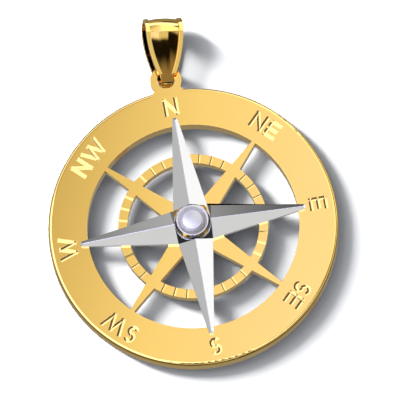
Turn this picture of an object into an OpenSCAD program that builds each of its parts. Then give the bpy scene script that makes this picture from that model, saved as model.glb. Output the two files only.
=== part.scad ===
// Compass pendant, lying face up: a flat ring with engraved compass points, spokes and a notched
// inner ring, a ridged four-point star held by a collar and a rivet, and a folded bail.
// Millimetres, +Z up, north along +Y, the ring's back face on z = 0.

/* [Ring] */
// Outer diameter of the ring
ring_d = 35; // [33:0.5:38]
// Diameter of the opening inside the ring
ring_opening_d = 25.6; // [25:0.2:26.2]
// Thickness of the ring
ring_t = 1.8; // [1.7:0.05:2.2]
// Rounding of the ring's outer front edge
front_round = 0.45; // [0.2:0.05:0.6]
// Rounding of the ring's outer back edge
back_round = 0.25; // [0.1:0.05:0.4]

/* [Ear] */
// Distance from the ring's outer edge to the middle of the ear's hole
ear_offset = 1.25; // [1.15:0.05:1.4]
// Outer diameter of the ear
ear_d = 3.8; // [3.7:0.1:4.2]
// Diameter of the ear's hole
ear_hole_d = 2.1; // [2:0.05:2.2]
// Thickness of the ear, flush with the ring's face
ear_t = 0.7; // [0.6:0.05:0.8]
// Radius of the fillets between ear and ring
ear_fillet = 0.3; // [0.2:0.05:0.6]

/* [Spokes and notched ring] */
// Thickness of the spokes and the notched ring, flush with the ring's face
lattice_t = 1.2; // [0.9:0.1:1.4]
// Width of a spoke's outline where it would reach the centre
spoke_root_w = 2.76; // [2.4:0.1:3.2]
// Width of a spoke at the ring's opening
spoke_end_w = 0.48; // [0.4:0.02:1]
// Outer diameter of the notched ring
notch_ring_d = 18.1; // [17:0.1:19]
// Width of the notched ring's band
notch_ring_w = 1.1; // [0.8:0.1:1.4]
// Angle from one notch to the next
notch_pitch = 10; // [7.5, 9, 10, 15]
// Width of a notch at the face
notch_w = 0.28; // [0.2:0.02:0.36]
// Depth of a notch
notch_depth = 0.07; // [0.05:0.01:0.12]
// Diameter of the hub under the star
hub_d = 4.8; // [4:0.1:5.4]

/* [Letters] */
// Height of the letters
cap_h = 2.25; // [1.9:0.05:2.4]
// Width of an engraved stroke at the face
stroke_w = 0.48; // [0.36:0.02:0.52]
// Depth of an engraved stroke
stroke_depth = 0.12; // [0.08:0.01:0.2]
// Clear width between the strokes of two neighbouring letters
letter_gap = 0.25; // [0.15:0.05:0.4]

/* [Star] */
// Distance from the centre to the tip of an arm
star_reach = 13.8; // [13.2:0.1:14]
// Width of an arm where it meets its neighbours
arm_root_w = 4.2; // [3.9:0.1:4.6]
// Width of an arm where its round tip begins
arm_tip_w = 0.7; // [0.5:0.05:0.9]
// Height of an arm's ridge above the star's base at the hub
ridge_root_h = 1.95; // [1.8:0.05:2.2]
// Height of an arm's ridge above the star's base at the tip
ridge_tip_h = 0.5; // [0.45:0.05:0.7]
// Height of an arm's side wall at the hub
edge_root_h = 0.45; // [0.35:0.05:0.55]
// Height of the collar's seat above the star's base
seat_h = 1.15; // [1.05:0.05:1.3]
// Turn of the star from the letters, clockwise
star_turn = 0.8; // [0:0.1:1.5]

/* [Collar and rivet] */
// Diameter of the collar at its base
collar_base_d = 4.3; // [4:0.1:4.4]
// Diameter of the collar at its rim
collar_rim_d = 3.84; // [3.7:0.02:3.94]
// Width of the collar's rim
collar_rim_w = 0.14; // [0.1:0.02:0.2]
// Height of the collar
collar_h = 1.25; // [1.1:0.05:1.35]
// Depth of the dish in the collar
dish_depth = 0.35; // [0.2:0.05:0.45]
// Diameter of the rivet's head
head_d = 2.4; // [2.2:0.02:2.5]
// Height of the head's side above the dish
head_side_h = 0.55; // [0.4:0.05:0.7]
// Rise of the head's dome
dome_h = 0.2; // [0.1:0.02:0.3]
// Diameter of the rivet's shank
shank_d = 1.2; // [1:0.05:1.4]
// Diameter of the rivet's tail behind the hub
tail_d = 2; // [1.7:0.05:2.4]
// Thickness of the rivet's tail
tail_h = 0.3; // [0.2:0.02:0.35]

/* [Bail] */
// Width of the bail at its top
bail_top_w = 4.6; // [4.4:0.1:5]
// Depth of the bail at its top, front to back
bail_top_depth = 3.6; // [3.4:0.1:4]
// Depth of the bail at the bend in the ear
bail_bend_depth = 2.8; // [2.7:0.05:2.8]
// Distance from the middle of the bend to the middle of the top
bail_centres = 5.4; // [5:0.05:5.8]
// Thickness of the band
band_t = 0.45; // [0.4:0.05:0.5]
// Width of the raised rims
rim_w = 0.48; // [0.4:0.02:0.6]
// Depth of the panel between the rims
panel_depth = 0.14; // [0.1:0.01:0.18]
// Radius of the panel's arch from one rim to the other
panel_arch_r = 9; // [8:0.5:14]
// Width of the tongue that passes the ear, below the band's shoulders
tongue_w = 1.7; // [1.6:0.02:1.76]
// Width of the tongue where its round end begins
tongue_low_w = 1.4; // [1.2:0.02:1.44]
// Width of the tongue at the bend
tongue_end_w = 0.7; // [0.5:0.05:0.9]
// Shift of the tongue's end to the west of the ear hole's middle
tongue_shift = 0.06; // [0:0.01:0.08]
// Distance from the middle of the ear's hole to the band's shoulders
shoulder_from_hole = 0.5; // [0.4:0.02:0.6]
// Radius of the band's bowed sides
side_r = 16; // [15.6:0.2:18]
// Roll of the bail about its own length, west side up
bail_roll = 10; // [4:0.5:11]
// Lean of the bail to the east of north
bail_lean = 5.7; // [3:0.1:6.5]

/* [Clearances] */
// Gap between the star and the face below it, and between collar, rivet and their seats
seat_gap = 0.05; // [0.02:0.01:0.1]
// Radial gap between the rivet's shank and its holes
shank_gap = 0.05; // [0.02:0.01:0.1]
// Gap between the tongue's end and the wall of the ear's hole
eye_gap = 0.1; // [0.08:0.01:0.14]

/* [Hidden] */
$fn = 96;
GOLD = [0.93, 0.72, 0.33];
WHITE_GOLD = [0.80, 0.80, 0.81];
// How far a cutting shape reaches past the face that it cuts
past = 0.1;
// How far joined shapes reach into each other
sink = 0.3;

ring_r = ring_d / 2;
opening_r = ring_opening_d / 2;
ear_y = ring_r + ear_offset;
lattice_z = ring_t - lattice_t;
notch_out_r = notch_ring_d / 2;
notch_in_r = notch_out_r - notch_ring_w;
shank_hole_r = shank_d / 2 + shank_gap;

// Letters: the sizes of their centre lines, which the strokes overrun by half their width
line_h = cap_h - stroke_w;
n_line_w = 0.76 * line_h;
e_line_w = 0.66 * line_h;
s_line_r = 0.265 * line_h;
w_line_w = 1.37 * line_h;
letter_step = letter_gap + stroke_w;
letters_r = (ring_r - front_round + opening_r) / 2 + 0.38;

// Star: the side of an arm is a straight line from its valley corner to its round tip
corner = arm_root_w / 2;
star_z = ring_t + seat_gap;
tip_half = arm_tip_w / 2;
tip_y = star_reach - tip_half;
ridge_root_y = corner + 0.15;
kite_y = corner + 0.4;
function arm_half(y) = corner - (corner - tip_half) * (y - corner) / (tip_y - corner);
ridge_fall = (ridge_root_h - ridge_tip_h) / (tip_y - ridge_root_y);
roof_fall = (ridge_root_h - ridge_fall * (kite_y - ridge_root_y) - edge_root_h) / arm_half(kite_y);
function roof_h(x, y) = ridge_root_h - ridge_fall * (y - ridge_root_y) - roof_fall * abs(x);
tip_edge_h = roof_h(tip_half, tip_y);
corner_h = edge_root_h + 0.05;
// Rise of the hub's corners above the collar's seat
hip_rise = 0.06;
seat_z = star_z + seat_h;
collar_z = seat_z + seat_gap;
dish_z = collar_z + collar_h - dish_depth;

// Bail: its own frame has the bend's middle over its origin and its back on z = 0
bend_r = bail_bend_depth / 2;
top_r = bail_top_depth / 2;
bail_end_y = bail_centres + top_r;
front_slope = 2 * atan2(top_r - bend_r, bail_centres);
// At rest the bend lies low in the ear's hole, with the tongue's corners clear of the hole's wall
bend_reach = sqrt(pow(ear_hole_d / 2 - eye_gap, 2) - pow(tongue_end_w / 2, 2));
bend_from_hole = bend_r - bend_reach;
shoulder_y = shoulder_from_hole - bend_from_hole;
// The bail is placed by the middle of the tongue's end, at the ear's half thickness
anchor_local = [0, -bend_r, bend_r];
anchor = [-tongue_shift, ear_y - bend_reach, ring_t - ear_t / 2];
widest_y = bail_centres + 0.4 * top_r;
function rolled(p) = [p.x * cos(bail_roll) + p.z * sin(bail_roll), p.y,
                      p.z * cos(bail_roll) - p.x * sin(bail_roll)];
function leaned(p) = [p.x * cos(bail_lean) + p.y * sin(bail_lean),
                      p.y * cos(bail_lean) - p.x * sin(bail_lean), p.z];
function side_half(y, inset = 0) =
    bail_top_w / 2 - side_r + sqrt(pow(side_r - inset, 2) - pow(widest_y - y, 2));
// The bail is pitched until its low back corner is this far above the surface that the ring lies on
rest_gap = 0.04;
low_corner = leaned(rolled([side_half(bail_centres), bail_centres, 0] - anchor_local));
bail_pitch = asin((rest_gap - anchor.z) / norm([low_corner.y, low_corner.z]))
    - atan2(low_corner.z, low_corner.y);
function pitched(p) = [p.x, p.y * cos(bail_pitch) - p.z * sin(bail_pitch),
                       p.y * sin(bail_pitch) + p.z * cos(bail_pitch)];
top_axis = pitched(leaned(rolled([1, 0, 0])));
top_middle = anchor + pitched(leaned(rolled([0, bail_centres, top_r] - anchor_local)));
reach_y = top_middle.y + top_r * sqrt(1 - pow(top_axis.y, 2)) + abs(top_axis.y) * bail_top_w / 2;
// The origin is the middle of the whole pendant's outline on the surface
middle_y = (reach_y - ring_r) / 2;

module placed() {
    translate([0, -middle_y, 0]) children();
}

// Cutter for a straight groove with sloping walls, along Y, its open side on z = 0
module groove(length, width, depth) {
    open_half = width / 2 * (1 + past / depth);
    rotate([90, 0, 0])
        linear_extrude(height = length, center = true)
            polygon([[-open_half, past], [0, -depth], [open_half, past]]);
}

// Engraved stroke between two points of a letter's centre line
module stroke(from, to) {
    run = to - from;
    middle = (from + to) / 2;
    translate([middle.x, middle.y, 0])
        rotate([0, 0, atan2(run.y, run.x) - 90])
            groove(norm(run) + stroke_w, stroke_w, stroke_depth);
}

// Engraved arc of a letter, counterclockwise from one angle through a sweep
module arc_stroke(middle, radius, from_angle, sweep) {
    open_half = stroke_w / 2 * (1 + past / stroke_depth);
    translate([middle.x, middle.y, 0])
        rotate([0, 0, from_angle])
            rotate_extrude(angle = sweep)
                translate([radius, 0])
                    polygon([[-open_half, past], [0, -stroke_depth], [open_half, past]]);
}

module letter_n() {
    half = line_h / 2;
    stroke([0, -half], [0, half]);
    stroke([0, half], [n_line_w, -half]);
    stroke([n_line_w, -half], [n_line_w, half]);
}

module letter_e() {
    half = line_h / 2;
    stroke([0, -half], [0, half]);
    for (y = [-half, 0, half]) stroke([0, y], [y == 0 ? 0.9 * e_line_w : e_line_w, y]);
}

module letter_s() {
    rise = line_h / 2 - s_line_r;
    arc_stroke([s_line_r, rise], s_line_r, 35, 235);
    arc_stroke([s_line_r, -rise], s_line_r, -145, 235);
}

module letter_w() {
    half = line_h / 2;
    for (k = [0:3]) {
        from_y = k % 2 == 0 ? half : -half;
        stroke([w_line_w * k / 4, from_y], [w_line_w * (k + 1) / 4, -from_y]);
    }
}

function letter_width(c) = c == "N" ? n_line_w : c == "E" ? e_line_w : c == "S" ? 2 * s_line_r : w_line_w;

module letter(c) {
    if (c == "N") letter_n();
    if (c == "E") letter_e();
    if (c == "S") letter_s();
    if (c == "W") letter_w();
}

// One compass point, its letters side by side with their tops towards the ring's outer edge
module point_name(name, bearing) {
    first_w = letter_width(name[0]);
    second_x = first_w + letter_step;
    total_w = len(name) > 1 ? second_x + letter_width(name[1]) : first_w;
    rotate([0, 0, -bearing])
        translate([-total_w / 2, letters_r, ring_t]) {
            letter(name[0]);
            if (len(name) > 1) translate([second_x, 0, 0]) letter(name[1]);
        }
}

module point_names() {
    names = ["N", "NE", "E", "SE", "S", "SW", "W", "NW"];
    for (k = [0:7]) point_name(names[k], 45 * k);
}

module band_section() {
    difference() {
        translate([opening_r, 0]) square([ring_r - opening_r, ring_t]);
        translate([ring_r - front_round, ring_t - front_round])
            difference() {
                square(front_round + past);
                circle(front_round);
            }
        translate([ring_r - back_round, back_round])
            difference() {
                translate([0, -back_round - past]) square([back_round + past, back_round + past]);
                circle(back_round);
            }
    }
}

// Ear with fillets that run from its round outline into the ring's
module ear() {
    bite = 0.03;
    to_ring = ring_r + ear_fillet - bite;
    to_ear = ear_d / 2 + ear_fillet;
    swing = acos((pow(to_ring, 2) + pow(ear_y, 2) - pow(to_ear, 2)) / (2 * to_ring * ear_y));
    middle = to_ring * [sin(swing), cos(swing)];
    on_ring = (ring_r - bite) * [sin(swing), cos(swing)];
    on_ear = [0, ear_y] + ear_d / 2 * (middle - [0, ear_y]) / to_ear;
    root_y = ring_r - front_round - sink;
    translate([0, 0, ring_t - ear_t])
        linear_extrude(height = ear_t)
            union() {
                translate([0, ear_y]) circle(d = ear_d);
                for (side = [-1, 1])
                    difference() {
                        polygon([[0, ear_y], [side * on_ear.x, on_ear.y], [side * on_ring.x, on_ring.y],
                                 [side * on_ring.x, root_y], [0, root_y]]);
                        translate([side * middle.x, middle.y]) circle(ear_fillet);
                    }
            }
}

module spokes() {
    reach = opening_r + sink;
    end_w = spoke_root_w + (spoke_end_w - spoke_root_w) * reach / opening_r;
    translate([0, 0, lattice_z])
        linear_extrude(height = lattice_t)
            for (k = [0:3])
                rotate([0, 0, 45 + 90 * k])
                    polygon([[-spoke_root_w / 2, 0], [spoke_root_w / 2, 0],
                             [end_w / 2, reach], [-end_w / 2, reach]]);
}

module notch_band() {
    translate([0, 0, lattice_z])
        difference() {
            cylinder(r = notch_out_r, h = lattice_t);
            translate([0, 0, -past]) cylinder(r = notch_in_r, h = lattice_t + 2 * past);
        }
}

// Notches from one spoke to the next, with none on the spokes
module notches() {
    per_quarter = round(90 / notch_pitch) - 1;
    for (quarter = [0:3], k = [1:per_quarter])
        rotate([0, 0, 45 + 90 * quarter + notch_pitch * k])
            translate([0, (notch_out_r + notch_in_r) / 2, ring_t])
                groove(notch_ring_w + 2 * past, notch_w, notch_depth);
}

module compass_ring() {
    color(GOLD)
        placed()
            difference() {
                union() {
                    rotate_extrude() band_section();
                    ear();
                    spokes();
                    notch_band();
                    translate([0, 0, lattice_z]) cylinder(d = hub_d, h = lattice_t);
                }
                translate([0, ear_y, -past]) cylinder(d = ear_hole_d, h = ring_t + 2 * past);
                translate([0, 0, -past]) cylinder(r = shank_hole_r, h = ring_t + 2 * past);
                notches();
                point_names();
            }
}

// Corners of one arm, from its east side round its tip to the valley on its west side
function arm_outline() = [
    [arm_half(kite_y), kite_y, edge_root_h],
    [tip_half, tip_y, tip_edge_h],
    [tip_half * 0.75, tip_y + tip_half * 0.66, tip_edge_h],
    [0, star_reach, tip_edge_h],
    [-tip_half * 0.75, tip_y + tip_half * 0.66, tip_edge_h],
    [-tip_half, tip_y, tip_edge_h],
    [-arm_half(kite_y), kite_y, edge_root_h],
    [-corner, corner, corner_h]
];
// Inner end and outer end of the ridge, and the corner under the collar beside the valley
function arm_inner() = [
    [0, ridge_root_y, ridge_root_h],
    [0, tip_y - 0.05, ridge_tip_h],
    [-0.76 * corner, 0.76 * corner, seat_h + hip_rise]
];
function turned(p, a) = [p.x * cos(a) - p.y * sin(a), p.x * sin(a) + p.y * cos(a), p.z];

// Facets of one arm, counterclockwise seen from outside, for arm k of four
function arm_facets(k) =
    let (o = 8 * k, p = 8 * ((k + 3) % 4), g = 64 + 3 * k, ridge_end = g + 1,
         hip = g + 2, east_hip = 64 + 3 * ((k + 3) % 4) + 2, middle = 76)
    [
        [g, o, o + 1, ridge_end],
        [g, ridge_end, o + 5, o + 6],
        [ridge_end, o + 1, o + 2],
        [ridge_end, o + 2, o + 3],
        [ridge_end, o + 3, o + 4],
        [ridge_end, o + 4, o + 5],
        [g, o + 6, o + 7],
        [g, o + 7, hip],
        [g, hip, middle],
        [g, p + 7, o],
        [g, east_hip, p + 7],
        [g, middle, east_hip]
    ];

module star_body() {
    top = [for (k = [0:3], p = arm_outline()) turned(p, 90 * k)];
    bottom = [for (p = top) [p.x, p.y, 0]];
    inner = [for (k = [0:3], p = arm_inner()) turned(p, 90 * k)];
    walls = [for (i = [0:31]) [32 + i, 32 + (i + 1) % 32, (i + 1) % 32, i]];
    base = [[for (i = [31:-1:0]) 32 + i]];
    facets = [for (k = [0:3], f = arm_facets(k)) f];
    outward = concat(facets, walls, base);
    polyhedron(points = concat(top, bottom, inner, [[0, 0, seat_h + hip_rise]]),
               faces = [for (f = outward) [for (i = [len(f) - 1:-1:0]) f[i]]]);
}

module compass_star() {
    color(WHITE_GOLD)
        placed()
            translate([0, 0, star_z])
                rotate([0, 0, -star_turn])
                    difference() {
                        star_body();
                        translate([0, 0, seat_h])
                            cylinder(d = collar_base_d + 2 * seat_gap, h = ridge_root_h);
                        translate([0, 0, -past]) cylinder(r = shank_hole_r, h = ridge_root_h);
                    }
}

module star_collar() {
    base_r = collar_base_d / 2;
    rim_r = collar_rim_d / 2;
    floor_h = collar_h - dish_depth;
    floor_r = head_d / 2 + 0.1;
    color(WHITE_GOLD)
        placed()
            translate([0, 0, collar_z])
                rotate_extrude()
                    polygon([[shank_hole_r, 0], [base_r, 0], [base_r, 0.15], [rim_r, collar_h],
                             [rim_r - collar_rim_w, collar_h], [floor_r, floor_h], [shank_hole_r, floor_h]]);
}

module rivet_head() {
    head_r = head_d / 2;
    dome_r = (pow(head_r, 2) + pow(dome_h, 2)) / (2 * dome_h);
    intersection() {
        cylinder(r = head_r, h = head_side_h + dome_h);
        translate([0, 0, head_side_h + dome_h - dome_r]) sphere(dome_r, $fn = 192);
    }
}

module centre_rivet() {
    head_z = dish_z + seat_gap;
    tail_z = lattice_z - seat_gap - tail_h;
    color(WHITE_GOLD)
        placed()
            union() {
                translate([0, 0, head_z]) rivet_head();
                translate([0, 0, tail_z]) cylinder(d = tail_d, h = tail_h);
                translate([0, 0, tail_z]) cylinder(d = shank_d, h = head_z - tail_z + past);
            }
}

// Side view of the bail's loop, each surface moved outwards by grow. The straight sides end a little
// way round the two rounds, where they meet them at a slight angle.
module loop_side(grow) {
    bite = 2;
    bend_mid = [0, bend_r];
    top_mid = [bail_centres, top_r];
    function on_round(middle, radius, angle) = middle + (radius + grow) * [cos(angle), sin(angle)];
    translate(bend_mid) circle(bend_r + grow);
    translate(top_mid) circle(top_r + grow);
    polygon([on_round(bend_mid, bend_r, -90 - bite), on_round(top_mid, top_r, -90 + bite),
             on_round(top_mid, top_r, 90 + front_slope - bite),
             on_round(bend_mid, bend_r, 90 + front_slope + bite)]);
}

module loop_solid(grow) {
    rotate([90, 0, 90])
        linear_extrude(height = 2 * bail_top_w, center = true)
            loop_side(grow);
}

// Front view of the band from its shoulders up, its bowed sides moved inwards by inset
module bowed_sides(inset) {
    strips = 16;
    strip_l = (bail_end_y + past - shoulder_y) / strips;
    levels = [for (k = [0:strips]) shoulder_y + k * strip_l];
    polygon(concat([for (y = levels) [side_half(y, inset), y]],
                   [for (k = [strips:-1:0]) [-side_half(levels[k], inset), levels[k]]]));
}

module band_outline() {
    end_y = -bend_r - past;
    low_y = -bend_r + 0.45;
    bowed_sides(0);
    polygon([[-tongue_end_w / 2, end_y], [tongue_end_w / 2, end_y], [tongue_low_w / 2, low_y],
             [tongue_w / 2, shoulder_y], [tongue_w / 2, shoulder_y + past],
             [-tongue_w / 2, shoulder_y + past], [-tongue_w / 2, shoulder_y], [-tongue_low_w / 2, low_y]]);
}

// Front view of the panel: between the rims, and the whole width of the tongue up to the rims' ends
module panel_outline() {
    low_y = -bend_r - 2 * past;
    rim_end_y = shoulder_y + 0.05;
    bowed_sides(rim_w);
    translate([-bail_top_w / 2, low_y]) square([bail_top_w, rim_end_y - low_y]);
}

// The arch of the panel, as a solid that reaches from the arch down past the band
module arch_section(drop) {
    intersection() {
        translate([top_r - drop - panel_arch_r, 0]) circle(panel_arch_r, $fn = 360);
        translate([0, -bail_top_w]) square([top_r + 1, 2 * bail_top_w]);
    }
}

// The front's arch starts one crease below the top's
module arched_front() {
    crease = 0.03;
    fall = atan2(panel_depth, bail_centres);
    translate([0, bail_centres, top_r])
        rotate([front_slope + fall, 0, 0])
            rotate([90, -90, 0])
                translate([0, 0, -past])
                    linear_extrude(height = 2 * bail_end_y) arch_section(crease);
}

module arched_top() {
    translate([0, bail_centres, top_r]) rotate([0, 90, 0]) rotate_extrude() arch_section(0);
}

module column(from_z) {
    translate([0, 0, from_z])
        linear_extrude(height = bail_top_depth + 2)
            children();
}

// Room above the panel, cut off the band on the front and over the top
module panel_room() {
    split_y = bail_centres - top_r * sin(front_slope);
    difference() {
        column(bend_r)
            intersection() {
                panel_outline();
                translate([-bail_top_w, -bail_end_y]) square([2 * bail_top_w, bail_end_y + split_y]);
            }
        arched_front();
    }
    difference() {
        column(bend_r)
            intersection() {
                panel_outline();
                translate([-bail_top_w, split_y]) square([2 * bail_top_w, bail_end_y]);
            }
        arched_top();
    }
}

module bail_band() {
    difference() {
        intersection() {
            difference() {
                loop_solid(0);
                loop_solid(-band_t);
            }
            column(-1) band_outline();
        }
        panel_room();
    }
}

module bail() {
    color(GOLD)
        placed()
            translate(anchor)
                rotate([bail_pitch, 0, 0])
                    rotate([0, 0, -bail_lean])
                        rotate([0, bail_roll, 0])
                            translate(-anchor_local)
                                bail_band();
}

compass_ring();
compass_star();
star_collar();
centre_rivet();
bail();
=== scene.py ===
"""Looks of the compass pendant: polished yellow and white gold on a white table, in the CAD frame.

Polished metal shows what stands round it, so most of the script is the tent: a ball of light round the
pendant that only mirror rays see, with bright and dark bands for the facets, the letters, the rim and the bail.
"""

import math

import bpy
from mathutils import Matrix, Vector


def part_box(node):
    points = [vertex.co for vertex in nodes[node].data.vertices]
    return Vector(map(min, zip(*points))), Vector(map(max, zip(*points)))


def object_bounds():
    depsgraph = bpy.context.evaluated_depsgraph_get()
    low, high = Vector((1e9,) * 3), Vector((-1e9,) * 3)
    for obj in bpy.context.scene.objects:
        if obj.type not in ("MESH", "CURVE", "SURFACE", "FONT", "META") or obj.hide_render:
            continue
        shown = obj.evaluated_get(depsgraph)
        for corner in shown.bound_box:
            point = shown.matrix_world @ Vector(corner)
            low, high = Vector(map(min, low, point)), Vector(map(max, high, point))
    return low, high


MM = 0.001

# Metal of each node: its name, base colour, roughness, what a scuff adds to that, the depth of the polishing
# marks in metres and the width of the worn edges
YELLOW = (1.0, 0.67, 0.18, 1)
METALS = {
    "compass_ring": ("yellow_gold", YELLOW, 0.03, 0.05, 2e-7, 0.05 * MM),
    "bail": ("bail_gold", YELLOW, 0.012, 0.015, 5e-8, 0.04 * MM),
    "compass_star": ("white_gold", (0.87, 0.865, 0.86, 1), 0.03, 0.05, 2e-7, 0.06 * MM),
    "star_collar": ("hub_white_gold", (0.76, 0.74, 0.7, 1), 0.14, 0.08, 2e-7, 0.06 * MM),
    "centre_rivet": ("head_white_gold", (0.64, 0.62, 0.58, 1), 0.3, 0.06, 2e-7, 0.06 * MM),
}
# Polishing marks, scuffs and slow changes: features to the metre and octaves of detail
MARKS, SCUFFS, SLOW = (900.0, 4.0), (420.0, 6.0), (160.0, 3.0)
# The noise above which a scuff starts and is whole, the strength of the marks and the tint at its darkest
SCUFF_FROM, SCUFF_WHOLE, MARKS_STRENGTH, DARKEST = 0.58, 0.72, 0.25, 0.94
BLACK, PLAIN = (0, 0, 0, 1), (1, 1, 1, 1)

# Table: its side in metres, its grain, the two greys between which the grain runs, and the gap under the pendant
TABLE_SIZE, TABLE_GAP = 2.0, 0.02 * MM
TABLE_GRAIN, TABLE_BUMP, TABLE_BUMP_DEPTH, TABLE_ROUGH = (600.0, 3.0), 0.1, 1e-5, 0.7
TABLE_GREYS = [(0.3, (0.93, 0.93, 0.93, 1)), (0.7, (0.96, 0.96, 0.96, 1))]

# Lamps: azimuth clockwise from north and elevation in degrees, distance, width and height in metres, power in W
KEY_LAMP = (-49, 26, 0.42, 0.09, 0.3, 5.4)
SOFT_LAMP = (-52, 45, 0.45, 0.36, 0.36, 0.6)
WORLD_COLOR, WORLD_LEVEL = (0.97, 1.0, 1.02, 1), 0.28

# Tent: its radius, the rows and columns of its mesh, and the place of its pole in degrees north of straight up.
# The ring's face mirrors the pole in the photograph's view
TENT_R, TENT_ROWS, TENT_COLUMNS = 150 * MM, 48, 64
FACE_POLE = 17.0
# Each band of the tent has a level and edges. A pair of edges says where the band's share is 0 and where it is 1.
# They are parts of the direction from the ring's middle, x east and y north, or the cosine from the pole.
# From the pole outwards come the face's colour, the roof, the walls' band and the sides
FACE_EDGE, ROOF_EDGE, WALLS_EDGE = (0.93, 0.96), (0.735, 0.765), (0.45, 0.5)
# Sides, for the star's facets, with the north, which darkens away from the middle, and the black low south
SIDE_EAST, SIDE_WEST, SIDE_SOUTH = 1.15, 0.57, 0.75
EAST_EDGE, SOUTH_EDGE = (-0.2, 0.5), (-0.45, -0.7)
SIDE_NORTH, SIDE_NORTH_FAR = 0.48, 0.12
NORTH_EDGE, NORTH_FAR_EDGE = (0.8, 0.92), (0.1, 0.26)
LOW_SOUTH, LOW_EDGE, LOW_SOUTH_EDGE = 0.03, (0.24, 0.19), (0.2, 0.0)
# Walls of letters and notches: their levels, the bearing of the light among them and the cosine at its edge
WALL_BRIGHT, WALL_DARK, WALL_LIGHT, WALL_EDGE = 1.55, 0.14, -62.0, (-0.4, -0.2)
# Roof, for the ring's face: its level in the middle, its fall and its rise from there, its least level, the shares
# of east and south in the direction in which it brightens, and the middle's place north, near the pole
ROOF_MIDDLE, ROOF_FALL, ROOF_RISE, ROOF_LEAST = 1.03, 2.9, 0.8, 0.55
ROOF_EAST, ROOF_SOUTH, ROOF_NORTH = 0.906, 0.423, 0.29
# Lights in the roof for the bail's fold and its shoulder: level, edge along x and edge along y
FOLD = (1.6, (0.16, 0.3), (0.08, 0.28))
SHOULDER = (0.8, (0.12, 0.2), (0.15, 0.05))
# Slot for the bail's dark panel: its levels, its four edges, the edge of its dim part, and its lean, its bow about
# a middle and its shift to the north at an edge in x
SLOT_DARK, SLOT_DIM, SLOT_DIM_EDGE = 0.01, 0.3, (-0.008, -0.026)
SLOT_WEST, SLOT_EAST = (-0.1, -0.04), (0.85, 0.75)
SLOT_NORTH, SLOT_SOUTH = (0.0095, 0.0055), (-0.085, -0.07)
SLOT_LEAN, SLOT_BOW, SLOT_MIDDLE = 0.05, 0.14, 0.33
SLOT_SHIFT, SLOT_SHIFT_EDGE = 0.0075, (0.385, 0.42)
# Arc for the white line on the ring's rounded edge: its level, its edges from the pole, its south and west edges,
# and the slanting edge that cuts off its north-east
ARC, ARC_INNER, ARC_OUTER = 2.7, (0.95, 0.93), (0.72, 0.78)
ARC_SOUTH, ARC_WEST, ARC_SLANT, ARC_CUT = (-0.06, -0.2), (-0.13, -0.2), 0.6, (-0.05, -0.15)
# Below the table's height: levels straight down, round that and where the outer walls look, and their edges
BELOW_MIDDLE, BELOW_ROUND, BELOW_OUTER, BELOW_EDGE = 1.0, 0.3, 0.33, (-0.02, -0.05)
ROUND_EDGE, OUTER_EDGE, OUTER_SOUTH_WEST = (0.1, 0.16), (0.27, 0.31), (0.0, -0.1)
# Tints of the walls' band, the arc and the slot, and those of the face's band from its west to its east
WALL_TINT, ARC_TINT, SLOT_TINT = (1, 1.06, 1.7, 1), (1, 1.05, 1.6, 1), (1, 0.8, 0.6, 1)
FACE_TINTS = [(0.26, (1, 0.95, 0.86, 1)), (0.5, (1, 0.99, 1.03, 1)), (0.74, (1, 1, 1.35, 1))]
FACE_TINT_SLOPE = 2.0
# Faint clouds over the whole tent: how much they change its level, and their noise
CLOUD, CLOUDS = 0.1, (12.0, 1.0)

# Camera: the picture's side in pixels, pixels to the millimetre, the ring's middle in the picture and the distance
PICTURE, PX_PER_MM, RING_PX, DISTANCE = 400, 8.304, (193.2, 226.0), 1.0
# The tilt of the table's up direction from the line of sight, its bearing in the picture and that of north
TILT, LEAN, NORTH = math.radians(17.0), math.radians(97.0), math.radians(100.7)
SENSOR, CLIP_NEAR, CLIP_FAR = 36.0, 0.05, 20.0

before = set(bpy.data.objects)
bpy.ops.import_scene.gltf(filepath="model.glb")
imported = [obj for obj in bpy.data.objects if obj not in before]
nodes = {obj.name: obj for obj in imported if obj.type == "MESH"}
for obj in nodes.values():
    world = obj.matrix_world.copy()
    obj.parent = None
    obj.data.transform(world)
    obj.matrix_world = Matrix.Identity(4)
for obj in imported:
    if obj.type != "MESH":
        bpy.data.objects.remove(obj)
cad_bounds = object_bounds()
scene = bpy.context.scene

# The middle of the ring's face
ring_low, ring_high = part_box("compass_ring")
RING_MID = Vector((0, ring_low.y + ring_high.x, ring_high.z))


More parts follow.
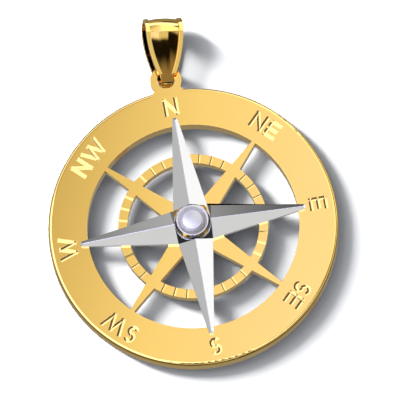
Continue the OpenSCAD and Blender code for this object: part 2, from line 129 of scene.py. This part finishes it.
class Nodes:
    """Short calls for a node tree. A value is a number, a tuple or another node's socket."""

    def __init__(self, tree):
        self.tree = tree

    def add(self, kind, inputs=None, **settings):
        node = self.tree.nodes.new(kind)
        for key, value in settings.items():
            setattr(node, key, value)
        for key, value in (inputs or {}).items():
            self.put(node.inputs[key], value)
        return node

    def put(self, socket, value):
        if isinstance(value, bpy.types.NodeSocket):
            self.tree.links.new(value, socket)
        else:
            socket.default_value = value

    def math(self, operation, a, b=0.0):
        return self.add("ShaderNodeMath", {0: a, 1: b}, operation=operation).outputs[0]

    def plus(self, a, b):
        return self.math("ADD", a, b)

    def minus(self, a, b):
        return self.math("SUBTRACT", a, b)

    def times(self, first, *others):
        for other in others:
            first = self.math("MULTIPLY", first, other)
        return first

    def length(self, a, b):
        """Length of the vector whose parts are a and b."""
        return self.math("SQRT", self.plus(self.times(a, a), self.times(b, b)))

    def step(self, value, edge):
        """0 at the edge's first number, 1 at its second, smooth between; the first may be the greater."""
        node = self.add(
            "ShaderNodeMapRange",
            {"Value": value, "From Min": min(edge), "From Max": max(edge)},
            interpolation_type="SMOOTHSTEP",
        )
        up = node.outputs["Result"]
        return up if edge[0] < edge[1] else self.minus(1.0, up)

    def mix(self, level, other, amount):
        """level where amount is 0, other where it is 1."""
        return self.add("ShaderNodeMix", {0: amount, 2: level, 3: other}, data_type="FLOAT").outputs[0]

    def mix_color(self, color, other, amount):
        return self.add("ShaderNodeMix", {0: amount, 6: color, 7: other}, data_type="RGBA").outputs[2]

    def noise(self, vector, scale, detail):
        return self.add("ShaderNodeTexNoise", {"Vector": vector, "Scale": scale, "Detail": detail}).outputs["Fac"]

    def ramp(self, value, stops):
        node = self.add("ShaderNodeValToRGB", {"Fac": value})
        elements = node.color_ramp.elements
        while len(elements) < len(stops):
            elements.new(0.5)
        for element, (place, color) in zip(elements, stops):
            element.position = place
            element.color = color
        return node.outputs["Color"]

    def towards(self, unit, azimuth, elevation=0.0):
        """Cosine of the angle between a unit vector and the given direction."""
        aim = tuple(direction(azimuth, elevation))
        return self.add("ShaderNodeVectorMath", {0: unit, 1: aim}, operation="DOT_PRODUCT").outputs["Value"]


def direction(azimuth, elevation):
    """Unit vector, azimuth clockwise from north."""
    a, e = math.radians(azimuth), math.radians(elevation)
    return Vector((math.sin(a) * math.cos(e), math.cos(a) * math.cos(e), math.sin(e)))


def new_material(name):
    material = bpy.data.materials.new(name)
    material.use_nodes = True
    material.node_tree.nodes.clear()
    return material, Nodes(material.node_tree)


def finish_material(n, surface):
    output = n.add("ShaderNodeOutputMaterial")
    n.put(output.inputs["Surface"], surface)


def link_new(name, data):
    obj = bpy.data.objects.new(name, data)
    scene.collection.objects.link(obj)
    return obj


def polished_metal(name, color, rough, scuffed, marks_depth, edge):
    """Polished metal: fine polishing marks in the bump, a few scuffs and slow changes in the roughness, faint tint
    changes and edges worn round."""
    material, n = new_material(name)
    place = n.add("ShaderNodeTexCoord").outputs["Object"]
    marks = n.noise(place, *MARKS)
    slow = n.noise(place, *SLOW)
    scuff = n.ramp(n.noise(place, *SCUFFS), [(SCUFF_FROM, BLACK), (SCUFF_WHOLE, PLAIN)])
    roughness = n.plus(n.times(scuff, scuffed), n.times(slow, rough))
    roughness = n.plus(roughness, rough)
    darker = tuple(DARKEST * c for c in color[:3]) + (1,)
    tint = n.mix_color(color, darker, slow)
    worn = n.add("ShaderNodeBevel", {"Radius": edge}, samples=6).outputs["Normal"]
    bump = n.add(
        "ShaderNodeBump", {"Height": marks, "Strength": MARKS_STRENGTH, "Distance": marks_depth, "Normal": worn}
    )
    shader = n.add(
        "ShaderNodeBsdfPrincipled",
        {"Base Color": tint, "Metallic": 1.0, "Roughness": roughness, "Normal": bump.outputs["Normal"]},
    )
    finish_material(n, shader.outputs["BSDF"])
    return material


def dress_pendant():
    for name, metal in METALS.items():
        materials = nodes[name].data.materials
        materials.clear()
        materials.append(polished_metal(*metal))


def table_material():
    material, n = new_material("white_table")
    place = n.add("ShaderNodeTexCoord").outputs["Object"]
    grain = n.noise(place, *TABLE_GRAIN)
    color = n.ramp(grain, TABLE_GREYS)
    bump = n.add("ShaderNodeBump", {"Height": grain, "Strength": TABLE_BUMP, "Distance": TABLE_BUMP_DEPTH})
    shader = n.add(
        "ShaderNodeBsdfPrincipled", {"Base Color": color, "Roughness": TABLE_ROUGH, "Normal": bump.outputs["Normal"]}
    )
    finish_material(n, shader.outputs["BSDF"])
    return material


def add_table():
    """White table, just under the pendant's lowest point and unseen by mirror rays."""
    mesh = bpy.data.meshes.new("table")
    h = TABLE_SIZE / 2
    mesh.from_pydata([(-h, -h, 0), (h, -h, 0), (h, h, 0), (-h, h, 0)], [], [(0, 1, 2, 3)])
    mesh.materials.append(table_material())
    table = link_new("table", mesh)
    table.location = (0, 0, cad_bounds[0][2] - TABLE_GAP)
    table.visible_glossy = False


def add_lamp(name, azimuth, elevation, distance, width, height, power):
    """Soft lamp that lights the table. The metal mirrors the tent instead."""
    data = bpy.data.lights.new(name, "AREA")
    data.shape = "ELLIPSE"
    data.size = width
    data.size_y = height
    data.energy = power
    lamp = link_new(name, data)
    lamp.location = RING_MID + distance * direction(azimuth, elevation)
    lamp.rotation_euler = (lamp.location - RING_MID).to_track_quat("Z", "Y").to_euler()
    lamp.visible_glossy = False


def add_world():
    world = bpy.data.worlds.new("studio")
    scene.world = world
    world.use_nodes = True
    world.node_tree.nodes.clear()
    n = Nodes(world.node_tree)
    background = n.add("ShaderNodeBackground", {"Color": WORLD_COLOR, "Strength": WORLD_LEVEL})
    output = n.add("ShaderNodeOutputWorld")
    n.put(output.inputs["Surface"], background.outputs["Background"])


class TentPlace:
    """Where a point of the tent lies. x, y and z are its direction from the ring's middle, and from_pole is the
    cosine of its angle from the pole. A surface tilted by t from the ring's face mirrors what lies 2 t from it."""

    def __init__(self, n):
        self.point = n.add("ShaderNodeTexCoord").outputs["Object"]
        unit = n.add("ShaderNodeVectorMath", {0: self.point, 3: 1 / TENT_R}, operation="SCALE").outputs["Vector"]
        split = n.add("ShaderNodeSeparateXYZ", {"Vector": unit})
        self.x, self.y, self.z = (split.outputs[k] for k in "XYZ")
        self.from_pole = n.towards(unit, 0, 90 - FACE_POLE)
        # Cosine of the angle, round the pole, between the point's bearing and that of the walls' light
        east, north = n.towards(unit, 90), n.towards(unit, 0, -FACE_POLE)
        light = math.radians(WALL_LIGHT)
        self.light_side = n.math(
            "DIVIDE",
            n.plus(n.times(east, math.sin(light)), n.times(north, math.cos(light))),
            n.math("MAXIMUM", n.length(east, north), 0.01),
        )
        # How far the point lies towards the roof's bright side
        self.off_north = n.minus(self.y, ROOF_NORTH)
        self.along = n.minus(n.times(self.x, ROOF_EAST), n.times(self.off_north, ROOF_SOUTH))


def side_level(n, at):
    """The sides, which the star's facets mirror: bright in the east, dimmer in the south and the west. The low
    south is dark, for the black line in the ring's rounded edge."""
    level = n.mix(SIDE_WEST, SIDE_EAST, n.step(at.x, EAST_EDGE))
    level = n.mix(level, SIDE_SOUTH, n.step(at.y, SOUTH_EDGE))
    north = n.mix(SIDE_NORTH, SIDE_NORTH_FAR, n.step(n.math("ABSOLUTE", at.x), NORTH_FAR_EDGE))
    level = n.mix(level, north, n.step(at.y, NORTH_EDGE))
    return n.mix(level, LOW_SOUTH, n.times(n.step(at.from_pole, LOW_EDGE), n.step(at.y, LOW_SOUTH_EDGE)))


def wall_level(n, at):
    """What the walls of the letters and notches mirror: a light on one side, dark on the other."""
    return n.mix(WALL_DARK, WALL_BRIGHT, n.step(at.light_side, WALL_EDGE))


def roof_level(n, at):
    """The roof, which the ring's face mirrors: its level falls to the west-north-west. The bail's fold and its
    shoulder have their own lights in it."""
    falling = n.times(n.math("MINIMUM", at.along, 0.0), ROOF_FALL)
    rising = n.times(n.math("MAXIMUM", at.along, 0.0), ROOF_RISE)
    roof = n.math("MAXIMUM", n.plus(n.plus(falling, rising), ROOF_MIDDLE), ROOF_LEAST)
    for level, x_edge, y_edge in (FOLD, SHOULDER):
        roof = n.mix(roof, level, n.times(n.step(at.x, x_edge), n.step(at.y, y_edge)))
    return roof


def bail_slot(n, at):
    """The slot that the bail's panel mirrors, as the slot's share, and its level, dark and then dim to the south.
    The panel is bowed, so the slot bends with it."""
    off_middle = n.minus(at.x, SLOT_MIDDLE)
    across = n.plus(at.y, n.times(at.x, SLOT_LEAN))
    across = n.minus(across, n.times(off_middle, off_middle, SLOT_BOW))
    across = n.minus(across, n.times(n.step(at.x, SLOT_SHIFT_EDGE), SLOT_SHIFT))
    ends = n.times(n.step(at.x, SLOT_WEST), n.step(at.x, SLOT_EAST))
    share = n.times(ends, n.step(across, SLOT_NORTH), n.step(across, SLOT_SOUTH))
    return share, n.mix(SLOT_DARK, SLOT_DIM, n.step(across, SLOT_DIM_EDGE))


def rim_arc(n, at):
    """Share of the bright arc, south and west of the pole, for the white line along the ring's rounded edge."""
    band = n.times(n.step(at.from_pole, ARC_INNER), n.step(at.from_pole, ARC_OUTER))
    side = n.math("MAXIMUM", n.step(at.y, ARC_SOUTH), n.step(at.x, ARC_WEST))
    cut = n.step(n.plus(n.times(at.x, ARC_SLANT), at.off_north), ARC_CUT)
    return n.times(band, side, cut)


def below_level(n, at):
    """What upright walls mirror: bright straight down, dim round it, and another level for the outer walls."""
    out = n.length(at.x, at.y)
    level = n.mix(BELOW_MIDDLE, BELOW_ROUND, n.step(out, ROUND_EDGE))
    outer = n.times(n.step(out, OUTER_EDGE), n.step(n.plus(at.x, at.y), OUTER_SOUTH_WEST))
    return n.mix(level, BELOW_OUTER, outer)


def tent_color(n, at, slot, arc):
    """The light's colour: cool for the letters' walls and the rim, warm for the bail's panel, and from warm to
    cool across the part of the roof that the ring's face mirrors."""
    color = n.mix_color(PLAIN, WALL_TINT, n.step(at.from_pole, WALLS_EDGE))
    color = n.mix_color(color, PLAIN, n.step(at.from_pole, ROOF_EDGE))
    color = n.mix_color(color, ARC_TINT, arc)
    color = n.mix_color(color, SLOT_TINT, slot)
    face = n.ramp(n.plus(n.times(at.along, FACE_TINT_SLOPE), 0.5), FACE_TINTS)
    return n.mix_color(color, face, n.step(at.from_pole, FACE_EDGE))


def tent_material():
    material, n = new_material("studio_tent")
    at = TentPlace(n)
    slot, slot_level = bail_slot(n, at)
    arc = rim_arc(n, at)
    level = side_level(n, at)
    level = n.mix(level, wall_level(n, at), n.step(at.from_pole, WALLS_EDGE))
    level = n.mix(level, roof_level(n, at), n.step(at.from_pole, ROOF_EDGE))
    level = n.mix(level, slot_level, slot)
    level = n.mix(level, ARC, arc)
    level = n.mix(level, below_level(n, at), n.step(at.z, BELOW_EDGE))
    cloud = n.times(n.noise(at.point, *CLOUDS), CLOUD)
    level = n.times(level, n.plus(cloud, 1 - CLOUD / 2))
    # Light that left the table by a diffuse bounce finds the tent dark, so the metal throws no glow on the table
    bounces = n.add("ShaderNodeLightPath").outputs["Diffuse Depth"]
    level = n.mix(level, 0.0, n.math("MINIMUM", bounces, 1.0))
    glow = n.add("ShaderNodeEmission", {"Color": tent_color(n, at, slot, arc), "Strength": level})
    finish_material(n, glow.outputs["Emission"])
    return material


def add_tent():
    """Ball of light round the pendant, seen by mirror rays only."""
    points = [(0, 0, TENT_R)]
    for row in range(1, TENT_ROWS):
        elevation = 90 - 180 * row / TENT_ROWS
        points += [TENT_R * direction(90 - 360 * c / TENT_COLUMNS, elevation) for c in range(TENT_COLUMNS)]
    points.append((0, 0, -TENT_R))
    last = len(points) - 1
    faces = [(0, 1 + c, 1 + (c + 1) % TENT_COLUMNS) for c in range(TENT_COLUMNS)]
    faces += [(last, last - 1 - c, last - 1 - (c + 1) % TENT_COLUMNS) for c in range(TENT_COLUMNS)]
    for row in range(TENT_ROWS - 2):
        start = 1 + row * TENT_COLUMNS
        for c in range(TENT_COLUMNS):
            i, j = start + c, start + (c + 1) % TENT_COLUMNS
            faces.append((i, i + TENT_COLUMNS, j + TENT_COLUMNS, j))
    mesh = bpy.data.meshes.new("tent")
    mesh.from_pydata(points, [], faces)
    mesh.materials.append(tent_material())
    tent = link_new("tent", mesh)
    tent.location = RING_MID
    for ray in ("camera", "diffuse", "shadow", "transmission", "volume_scatter"):
        setattr(tent, "visible_" + ray, False)


def add_camera():
    """Camera at the photograph's angle, found from the tilt of the table and the bearing of north in it."""
    up = Vector((math.sin(TILT) * math.cos(LEAN), math.sin(TILT) * math.sin(LEAN), math.cos(TILT)))
    north = Vector((math.cos(NORTH), math.sin(NORTH), 0))
    north.z = -(north.x * up.x + north.y * up.y) / up.z
    north.normalize()
    east = north.cross(up)
    to_world = Matrix((east, north, up))

    data = bpy.data.cameras.new("camera")
    data.sensor_width = SENSOR
    data.lens = SENSOR * DISTANCE / (PICTURE / PX_PER_MM * MM)
    data.clip_start = CLIP_NEAR
    data.clip_end = CLIP_FAR
    camera = link_new("camera", data)
    scene.camera = camera
    x_px, y_px = RING_PX
    middle = PICTURE / 2
    ring_in_view = Vector(((x_px - middle) / PX_PER_MM * MM, (middle - y_px) / PX_PER_MM * MM, -DISTANCE))
    camera.matrix_world = Matrix.Translation(RING_MID - to_world @ ring_in_view) @ to_world.to_4x4()


dress_pendant()
add_table()
add_lamp("key", *KEY_LAMP)
add_lamp("soft", *SOFT_LAMP)
add_world()
add_tent()
add_camera()

scene.view_settings.view_transform = "Standard"
scene.view_settings.look = "None"
scene.view_settings.exposure = 0.0
